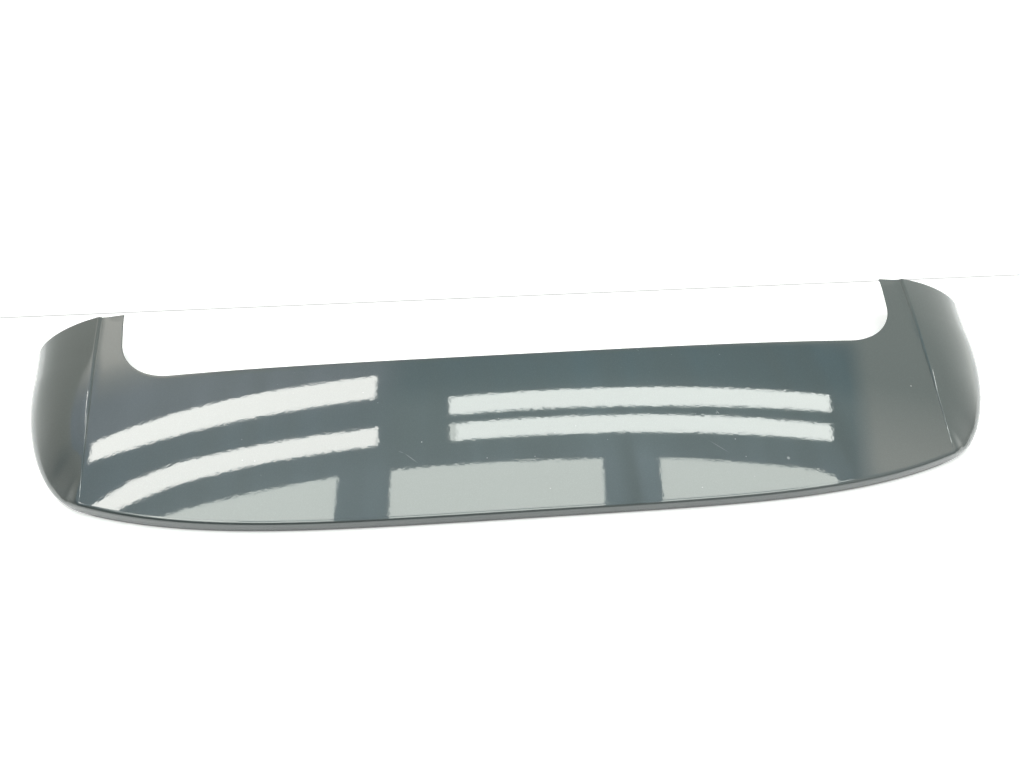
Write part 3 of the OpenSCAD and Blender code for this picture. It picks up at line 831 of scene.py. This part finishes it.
# Small chips, dust spots and scratches on the skin: x, y, half length, half width, angle and
# strength.
MARK_COLOUR, MARK_CORE, MARK_REACH, MARK_SLOPE = opaque((0.5, 0.5, 0.48)), 0.4, 1000.0, 0.2
MARKS = [
    (0.4735, -0.0231, 1.0 * MM, 1.0 * MM, 0.0, 0.8),
    (-0.1191, -0.0677, 0.9 * MM, 0.9 * MM, 0.0, 0.7),
    (0.2391, -0.0859, 0.9 * MM, 0.9 * MM, 0.0, 0.6),
    (0.2941, -0.1128, 2.2 * MM, 2.2 * MM, 0.0, 0.5),
    (0.2249, -0.0511, 1.2 * MM, 1.2 * MM, 0.0, 0.3),
    (0.0076, -0.0937, 0.9 * MM, 0.9 * MM, 0.0, 0.4),
    (0.2462, -0.1084, 0.9 * MM, 0.9 * MM, 0.0, 0.45),
    (0.2001, -0.0511, 0.8 * MM, 0.8 * MM, 0.0, 0.35),
    (-0.0301, -0.0434, 0.8 * MM, 0.8 * MM, 0.0, 0.35),
    (-0.0462, -0.0921, 0.9 * MM, 0.9 * MM, 0.0, 0.5),
    (-0.1312, -0.0868, 10.6 * MM, 0.7 * MM, -41.0, 0.2),
    (0.2183, -0.0943, 14.4 * MM, 0.6 * MM, -40.0, 0.18),
    (0.2268, -0.0505, 3.1 * MM, 0.8 * MM, -60.0, 0.45),
    (-0.1423, -0.0788, 4.0 * MM, 0.6 * MM, -25.0, 0.15),
]


def paint():
    """Metallic dark grey under a clear coat, with flakes, dust specks, faint wear and the marks."""
    m = material_nodes("metallic_paint")
    cloud = m.noise(*PAINT_CLOUD)
    base = m.blend(cloud, PAINT_DARK, PAINT_LIGHT)
    flake = m.add("ShaderNodeSeparateColor", {0: m.cells(FLAKE_SCALE).outputs["Color"]}).outputs[0]
    base = m.blend(m.ramp(flake, FLAKE_FROM, 1.0, 0.0, FLAKE_SHARE), base, FLAKE_COLOUR)
    speck = m.fall(m.cells(DUST_SCALE).outputs["Distance"], *SPECK_EDGE)
    chosen = m.rise(m.noise(*DUST_CLOUD), *DUSTY)
    base = m.blend(m.times(speck, chosen, DUST_SHARE), base, DUST_COLOUR)

    # The marks lie on the skin's upper side only.
    place = m.coordinates()
    facing = m.split(m.add("ShaderNodeNewGeometry").outputs["Normal"])[2]
    outside = m.rise(facing, 0.0, MARK_SLOPE)
    for x, y, reach, width, angle, share in MARKS:
        away = m.add("ShaderNodeMapping", {
            "Vector": place, "Location": (x, y, 0), "Scale": (reach, width, MARK_REACH),
            "Rotation": (0, 0, math.radians(angle))}, vector_type="TEXTURE").outputs[0]
        away = m.add("ShaderNodeVectorMath", {0: away}, operation="LENGTH").outputs["Value"]
        shown = m.times(m.ramp(away, MARK_CORE, 1.0, share, 0.0), outside)
        base = m.blend(shown, base, MARK_COLOUR)

    wear = m.rise(m.noise(*WEAR), *WORN)
    rough = m.ramp(cloud, *MIDDLE, PAINT_SMOOTH, PAINT_ROUGH)
    rough = m.maths("ADD", rough, m.times(wear, WEAR_ROUGHNESS))
    peel = m.bump(m.noise(*PEEL), PEEL_STRENGTH, PEEL_DEPTH)
    return m.surface(Base_Color=base, Metallic=PAINT_METAL, Roughness=rough, Coat_Weight=1.0,
                     Coat_Roughness=COAT_ROUGHNESS, Coat_IOR=COAT_IOR, Coat_Normal=peel)


FOAM_DARK, FOAM_LIGHT = opaque((0.022, 0.022, 0.024)), opaque((0.05, 0.05, 0.052))
FOAM_CELLS, FOAM_CLOUD, FOAM_ROUGHNESS, FOAM_SHEEN = 900.0, (60.0, 3.0), 0.92, 0.15
# Strength and depth of the bumps of the cells and of the cloud.
CELL_BUMP, CLOUD_BUMP = (0.5, 0.4 * MM), (0.3, 0.6 * MM)


def foam():
    m = material_nodes("closed_cell_foam")
    cells = m.cells(FOAM_CELLS).outputs["Distance"]
    cloud = m.noise(*FOAM_CLOUD)
    bump = m.bump(cells, *CELL_BUMP, m.bump(cloud, *CLOUD_BUMP))
    return m.surface(Base_Color=m.blend(cloud, FOAM_DARK, FOAM_LIGHT), Roughness=FOAM_ROUGHNESS,
                     Sheen_Weight=FOAM_SHEEN, Normal=bump)


STEEL_SHADE, STEEL_SMOOTH, STEEL_ROUGH, STEEL_BUMP = 0.85, 0.26, 0.42, (0.12, 0.1 * MM)
STEEL_CLOUD, STEEL_GRAIN = (180.0, 4.0, 0.6), (700.0, 2.0, 0.5)


def steel(name, colour, streak):
    """Zinc with a cloudy shade and a grain drawn out along the streak's smallest axis."""
    m = material_nodes(name)
    cloud = m.noise(*STEEL_CLOUD)
    grain = m.noise(*STEEL_GRAIN, streak)
    base = m.blend(cloud, opaque(STEEL_SHADE * c for c in colour), opaque(colour))
    rough = m.ramp(grain, *MIDDLE, STEEL_SMOOTH, STEEL_ROUGH)
    return m.surface(Base_Color=base, Metallic=1.0, Roughness=rough,
                     Normal=m.bump(grain, *STEEL_BUMP))


PLASTIC_GRAIN, PLASTIC_CLOUD, PLASTIC_BUMP = (1400.0, 2.0), (40.0, 3.0), (0.35, 0.15 * MM)
PLASTIC_SPREAD = 0.06


def moulded(name, dark, light, rough):
    m = material_nodes(name)
    grain = m.noise(*PLASTIC_GRAIN)
    base = m.blend(m.noise(*PLASTIC_CLOUD), opaque(dark), opaque(light))
    rough = m.ramp(grain, *MIDDLE, rough - PLASTIC_SPREAD, rough + PLASTIC_SPREAD)
    return m.surface(Base_Color=base, Roughness=rough, Normal=m.bump(grain, *PLASTIC_BUMP))


def dress(obj, material):
    obj.data.materials.clear()
    obj.data.materials.append(material)


PAINT = paint()
FOAM = foam()
PLATE = steel("pressed_zinc_sheet", (0.55, 0.56, 0.57), (1, 0.08, 1))
STUD = steel("zinc_thread", (0.62, 0.63, 0.64), (1, 1, 0.2))
BRACKET = moulded("black_grained_plastic", (0.028, 0.03, 0.032), (0.045, 0.047, 0.05), 0.55)
CLIP = moulded("natural_nylon", (0.55, 0.55, 0.5), (0.66, 0.66, 0.61), 0.42)


# Pieces.
def place(obj, node, slot, material):
    dress(obj, material)
    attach(obj, "root")
    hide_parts(node)
    return obj


place(upper_skin(), "upper_shell", "paint", PAINT)
place(lower_pan(), "lower_shell", "paint", PAINT)
place(foam_seal(), "notch_seal", "foam", FOAM)
place(foam_rings(), "stud_seals", "foam", FOAM)
place(foam_pads(), "land_pads", "foam", FOAM)
place(threaded_studs(), "mounting_studs", "stud_steel", STUD)

BEVEL_W, BEVEL_SHARP = 0.3 * MM, math.radians(50)
for node, material in (("stud_plates", PLATE), ("arm_bracket_left", BRACKET),
                       ("arm_bracket_right", BRACKET), ("arm_clips", CLIP)):
    dress(nodes[node], material)
    edge = nodes[node].modifiers.new("edge", "BEVEL")
    edge.width, edge.segments = BEVEL_W, 2
    edge.limit_method, edge.angle_limit = "ANGLE", BEVEL_SHARP


# Room.
def staged(name, corners, z, material):
    """A flat polygon of the room."""
    mesh = bpy.data.meshes.new(name)
    mesh.from_pydata([(x, y, z) for x, y in corners], [], [list(range(len(corners)))])
    obj = bpy.data.objects.new(name, mesh)
    bpy.context.scene.collection.objects.link(obj)
    obj.data.materials.append(material)
    return obj


def glowing(name, colour, strength):
    m = material_nodes(name)
    return m.close(m.glow(opaque(colour), strength))


WHITE = (1, 1, 1, 1)
TABLE_HALF, TABLE_COLOUR = 8, opaque((0.8, 0.8, 0.79))
# What plain white adds to the table's picture and to its reflections.
TABLE_GLOW, TABLE_SHEEN = 0.48, 0.8
# A painted contact shadow: the white is left out of a strip below the lip, so the table there and
# its reflection in the lip's foot read as shade; how soft the strip's edge is, where it fades out
# towards the front, and over what length it fades out at its ends.
SHADOW_EDGE, SHADOW_FROM, SHADOW_TO, SHADOW_ENDS = 0.6 * MM, 40 * MM, 60 * MM, 15 * MM


def table_material():
    """A pale matt table with a share of plain white on top, left out in a strip below the lip as a
    painted contact shadow.
    """
    m = material_nodes("white_table")
    path = m.add("ShaderNodeLightPath").outputs
    plain = m.add("ShaderNodeBsdfDiffuse", {"Color": TABLE_COLOUR})
    mirrored_ray = m.maths("MAXIMUM", path["Is Glossy Ray"], path["Is Transmission Ray"])
    share = m.maths("ADD", m.times(path["Is Camera Ray"], TABLE_GLOW),
                    m.times(mirrored_ray, TABLE_SHEEN))
    place = m.split(m.coordinates())
    aside = m.maths("ABSOLUTE", place[0])
    sweep = m.times(m.maths("POWER", m.maths("DIVIDE", aside, LIP_HALF), LIP_POWER), LIP_SWEEP)
    inward = m.maths("SUBTRACT", m.maths("ADD", place[1], DEPTH / 2), sweep)
    # Painted shadow: where the white is taken away, below the lip's foot.
    painted_shadow = m.times(m.rise(inward, -SHADOW_EDGE, SHADOW_EDGE), m.fall(inward, SHADOW_FROM, SHADOW_TO),
                    m.fall(aside, LIP_HALF - SHADOW_ENDS, LIP_HALF))
    glow = m.glow(WHITE, m.times(share, m.maths("SUBTRACT", 1.0, painted_shadow)))
    return m.close(m.add("ShaderNodeAddShader", {0: plain.outputs[0], 1: glow.outputs[0]}))


staged("table", [(-TABLE_HALF, -TABLE_HALF), (TABLE_HALF, -TABLE_HALF),
                 (TABLE_HALF, TABLE_HALF), (-TABLE_HALF, TABLE_HALF)], 0, table_material())

# The faint joint line of the table behind the part.
SEAM = [(-0.709, 0.227), (0.761, 0.2148), (0.761, 0.2176), (-0.709, 0.2298)]
SEAM_Z, SEAM_LIGHT = 0.2 * MM, 0.72
seam = staged("table_seam", SEAM, SEAM_Z, glowing("seam", (1.0, 1.0, 1.0), SEAM_LIGHT))
seam.visible_glossy = False

CEILING, LAYER = 2.2, 4 * MM


def overhead(name, outline, material, layer=1):
    """A flat glowing shape at the ceiling, not seen by the camera; y is from the trailing edge."""
    corners = [(x, y - DEPTH / 2) for x, y in outline]
    staged(name, corners, CEILING - layer * LAYER, material).visible_camera = False


# Soft upright bands of the ceiling: x from, x to, and how much lighter near the panels and beyond.
COLUMNS = [(0.43, 0.52, 0.35, 0.2), (0.52, 0.6, -0.1, -0.1), (0.61, 0.74, 0.45, 0.1),
           (1.0, 1.08, 0.15, 0.15), (1.2, 1.34, -0.12, -0.12), (1.58, 1.68, -0.25, -0.3)]
COLUMN_SOFT, BAND_SWING, PATCH_SWING, RIGHT_SLANT = 0.015, 0.28, 0.15, 0.33
CEILING_BANDS, CEILING_PATCHES = (1.0, 2.0, 0.6, (11.0, 0.35, 1.0)), (3.0, 3.0, 0.6)
# Where the ceiling's colour and light change: across in metres, and along from the trailing edge.
LEFT_FAR, RIGHT_FAR, MID_GAP, BY_PANELS = (0.95, 1.15), (0.93, 1.1), (-0.55, -0.35), (0.55, 0.78)
NEAR_EDGE, COLUMNS_TURN, RIGHT_END, FAR_END = (-0.1, 0.2), (0.56, 0.66), (1.44, 1.57), (1.34, 1.68)
CEILING_LEFT = opaque((0.26, 0.4, 0.55)), opaque((0.6, 0.68, 0.86))
CEILING_RIGHT = opaque((0.34, 0.52, 0.6)), opaque((0.05, 0.25, 0.38))
CEILING_PANELS, CEILING_NEAR = opaque((0.5, 0.68, 0.82)), opaque((0.25, 0.24, 0.21))


def ceiling_material():
    """A dim blue-grey ceiling, lighter to the left, that fades out at its far and right edges."""
    m = material_nodes("ceiling")
    place = m.split(m.coordinates())
    x, y = place[0], m.maths("ADD", place[1], DEPTH / 2)
    left = m.blend(m.rise(y, *LEFT_FAR), *CEILING_LEFT)
    right = m.blend(m.rise(y, *RIGHT_FAR), *CEILING_RIGHT)
    colour = m.blend(m.rise(x, *MID_GAP), left, right)
    colour = m.blend(m.fall(y, *BY_PANELS), colour, CEILING_PANELS)
    colour = m.blend(m.fall(y, *NEAR_EDGE), colour, CEILING_NEAR)

    bands, patches = m.noise(*CEILING_BANDS), m.noise(*CEILING_PATCHES)
    strength = m.times(m.ramp(bands, *MIDDLE, 1 - BAND_SWING, 1 + BAND_SWING),
                       m.ramp(patches, *MIDDLE, 1 - PATCH_SWING, 1 + PATCH_SWING))
    near = m.fall(y, *COLUMNS_TURN)
    for start, end, near_gain, far_gain in COLUMNS:
        inside = m.times(m.rise(x, start - COLUMN_SOFT, start + COLUMN_SOFT),
                         m.fall(x, end - COLUMN_SOFT, end + COLUMN_SOFT))
        gain = m.ramp(near, 0.0, 1.0, far_gain, near_gain)
        strength = m.times(strength, m.maths("ADD", 1.0, m.times(inside, gain)))

    light = m.glow(colour, strength)
    edge = m.maths("SUBTRACT", x, m.times(y, RIGHT_SLANT))
    shown = m.times(m.fall(edge, *RIGHT_END), m.fall(y, *FAR_END))
    clear = m.add("ShaderNodeBsdfTransparent")
    both = {0: shown, 1: clear.outputs[0], 2: light.outputs[0]}
    return m.close(m.add("ShaderNodeMixShader", both))


LEFT_LIGHT = glowing("left_light", (1.0, 1.0, 0.955), 10.0)
RIGHT_LIGHT = glowing("right_light", (0.955, 1.0, 0.955), 9.4)
PANEL_LIGHT = glowing("panel_light", (0.945, 1.0, 0.94), 6.2)
overhead("ceiling", [(-2.6, -1.2), (2.2, -1.2), (2.2, 1.7), (-2.6, 1.7)], ceiling_material(), 0)

# The lamps: material, then the points of one long edge and of the other, from left to right.
PANEL_Y = 0.12
LAMPS = {
    "strip_a": (LEFT_LIGHT,
                [(-1.946, 1.082), (-1.8, 1.108), (-1.4, 1.148), (-1.0, 1.168), (-0.5, 1.178)],
                [(-1.92, 0.96), (-1.8, 0.97), (-1.4, 0.992), (-1.0, 1.006), (-0.5, 1.016)]),
    "strip_b": (LEFT_LIGHT,
                [(-1.86, 0.685), (-1.64, 0.784), (-1.4, 0.824), (-1.0, 0.832), (-0.476, 0.832)],
                [(-1.88, 0.54), (-1.64, 0.652), (-1.4, 0.70), (-1.0, 0.724), (-0.476, 0.728)]),
    "strip_c": (RIGHT_LIGHT, [(-0.168, 0.976), (0.8, 0.992), (1.65, 1.0)],
                [(-0.168, 0.864), (0.8, 0.868), (1.615, 0.888)]),
    "strip_d": (RIGHT_LIGHT, [(-0.136, 0.812), (0.8, 0.816), (1.59, 0.808)],
                [(-0.136, 0.712), (0.8, 0.712), (1.555, 0.708)]),
    "strip_d_end": (PANEL_LIGHT, [(-0.168, 0.812), (-0.136, 0.812)],
                    [(-0.168, 0.712), (-0.136, 0.712)]),
    "panel_a": (PANEL_LIGHT, [(-1.84, 0.50), (-1.3, 0.565), (-1.0, 0.578), (-0.636, 0.59)],
                [(-1.84, PANEL_Y), (-0.636, PANEL_Y)]),
    "panel_b": (PANEL_LIGHT, [(-0.412, 0.588), (0.468, 0.572)],
                [(-0.412, PANEL_Y), (0.435, PANEL_Y)]),
    "panel_c": (PANEL_LIGHT, [(0.708, 0.57), (1.42, 0.538), (1.49, 0.515), (1.51, 0.48)],
                [(0.665, PANEL_Y), (1.52, PANEL_Y)]),
    "lamp_left": (LEFT_LIGHT, [(-2.13, 1.18), (-2.09, 1.18)], [(-2.13, 1.42), (-2.09, 1.42)]),
    "lamp_right": (RIGHT_LIGHT, [(2.47, 0.94), (2.54, 0.94)], [(2.47, 1.27), (2.54, 1.27)]),
}
for name, (light, one_edge, other_edge) in LAMPS.items():
    overhead(name, one_edge + other_edge[::-1], light)

# Colours of the walls, left and right: low and middle, near and beyond; then those high up.
LOW_NEAR = opaque((2.2, 2.25, 2.15)), opaque((3.3, 3.35, 3.2))
LOW_BEYOND = opaque((1.2, 1.25, 1.2)), opaque((1.45, 1.5, 1.44))
MIDDLE_NEAR = opaque((1.2, 1.22, 1.15)), opaque((1.6, 1.66, 1.58))
MIDDLE_BEYOND = opaque((0.8, 0.82, 0.76)), opaque((1.1, 1.14, 1.08))
LOW_BEHIND, MIDDLE_BEHIND = opaque((0.5, 0.52, 0.47)), opaque((0.3, 0.32, 0.3))
HIGH_FAR = opaque((0.68, 0.66, 0.57)), opaque((0.82, 0.88, 0.82))
HIGH_NEAR_LEFT = opaque((0.1, 0.12, 0.16))
HIGH_NEAR_RIGHT = opaque((1.8, 1.76, 1.62)), opaque((0.98, 1.05, 1.03))
SPOT_COLOUR, LEAST_UP = opaque((2.6, 2.5, 2.3)), 0.2
# Where these change, by direction: right, forward and up; high up by the slopes across and ahead.
TO_RIGHT, TO_BEYOND, LOW_BACK, MIDDLE_BACK = (-0.3, 0.3), (0.34, 0.5), (0.15, 0.5), (0.0, 0.35)
TO_MIDDLE, TO_HIGH, TO_FAR = (0.02, 0.28), (0.3, 0.62), (0.28, 0.46)
OUT_RIGHT, OUT_BACK = (0.9, 1.15), (0.1, 0.24)
SPOT_LEFT, SPOT_RIGHT, SPOT_AHEAD = (-0.96, -0.8), (-0.62, -0.45), (0.5, 0.7)


def room_walls():
    """The rest of the room: pale walls round the horizon, dimmer higher up and at the near left."""
    world = bpy.data.worlds.new("room")
    bpy.context.scene.world = world
    w = Nodes(world, "ShaderNodeOutputWorld")
    right, forward, above = w.split(w.coordinates("Generated"))[:3]
    up = w.maths("MAXIMUM", above, LEAST_UP)
    across, ahead = w.maths("DIVIDE", right, up), w.maths("DIVIDE", forward, up)
    on_right, beyond = w.rise(right, *TO_RIGHT), w.rise(forward, *TO_BEYOND)
    low = w.blend(beyond, w.blend(on_right, *LOW_NEAR), w.blend(on_right, *LOW_BEYOND))
    low = w.blend(w.fall(forward, *LOW_BACK), low, LOW_BEHIND)
    middle = w.blend(beyond, w.blend(on_right, *MIDDLE_NEAR), w.blend(on_right, *MIDDLE_BEYOND))
    middle = w.blend(w.fall(forward, *MIDDLE_BACK), middle, MIDDLE_BEHIND)
    aside = w.maths("MAXIMUM", w.rise(across, *OUT_RIGHT), w.fall(ahead, *OUT_BACK))
    near_wall = w.blend(on_right, HIGH_NEAR_LEFT, w.blend(aside, *HIGH_NEAR_RIGHT))
    high = w.blend(w.rise(ahead, *TO_FAR), near_wall, w.blend(on_right, *HIGH_FAR))
    spot = w.times(w.rise(across, *SPOT_LEFT), w.fall(across, *SPOT_RIGHT),
                   w.rise(ahead, *SPOT_AHEAD))
    high = w.blend(spot, high, SPOT_COLOUR)
    room = w.blend(w.rise(above, *TO_MIDDLE), low, middle)
    room = w.blend(w.rise(above, *TO_HIGH), room, high)
    # The camera sees plain white instead.
    lights = w.add("ShaderNodeBackground", {"Color": room, "Strength": 1.0})
    white = w.add("ShaderNodeBackground", {"Color": WHITE, "Strength": 1.0})
    seen = w.add("ShaderNodeLightPath").outputs["Is Camera Ray"]
    w.close(w.add("ShaderNodeMixShader", {0: seen, 1: lights.outputs[0], 2: white.outputs[0]}))


room_walls()

# Camera.
SENSOR_W, PICTURE_W, FOCAL = 36.0, 1020, 766
CAMERA_RIGHT = Vector((0.997189, -0.074921, 0.000478))
CAMERA_UP = Vector((0.053342, 0.714438, 0.697662))
CAMERA_BACK = CAMERA_RIGHT.cross(CAMERA_UP)
CAMERA_PLACE = (-0.06143, -0.632662, 0.700379)
camera_data = bpy.data.cameras.new("camera")
camera_data.sensor_width, camera_data.lens = SENSOR_W, FOCAL / PICTURE_W * SENSOR_W
camera = bpy.data.objects.new("camera", camera_data)
turn = Matrix((CAMERA_RIGHT, CAMERA_UP, CAMERA_BACK)).transposed()
camera.matrix_world = Matrix.Translation(CAMERA_PLACE) @ turn.to_4x4()
bpy.context.scene.collection.objects.link(camera)
bpy.context.scene.camera = camera
bpy.context.scene.view_settings.view_transform = "Standard"
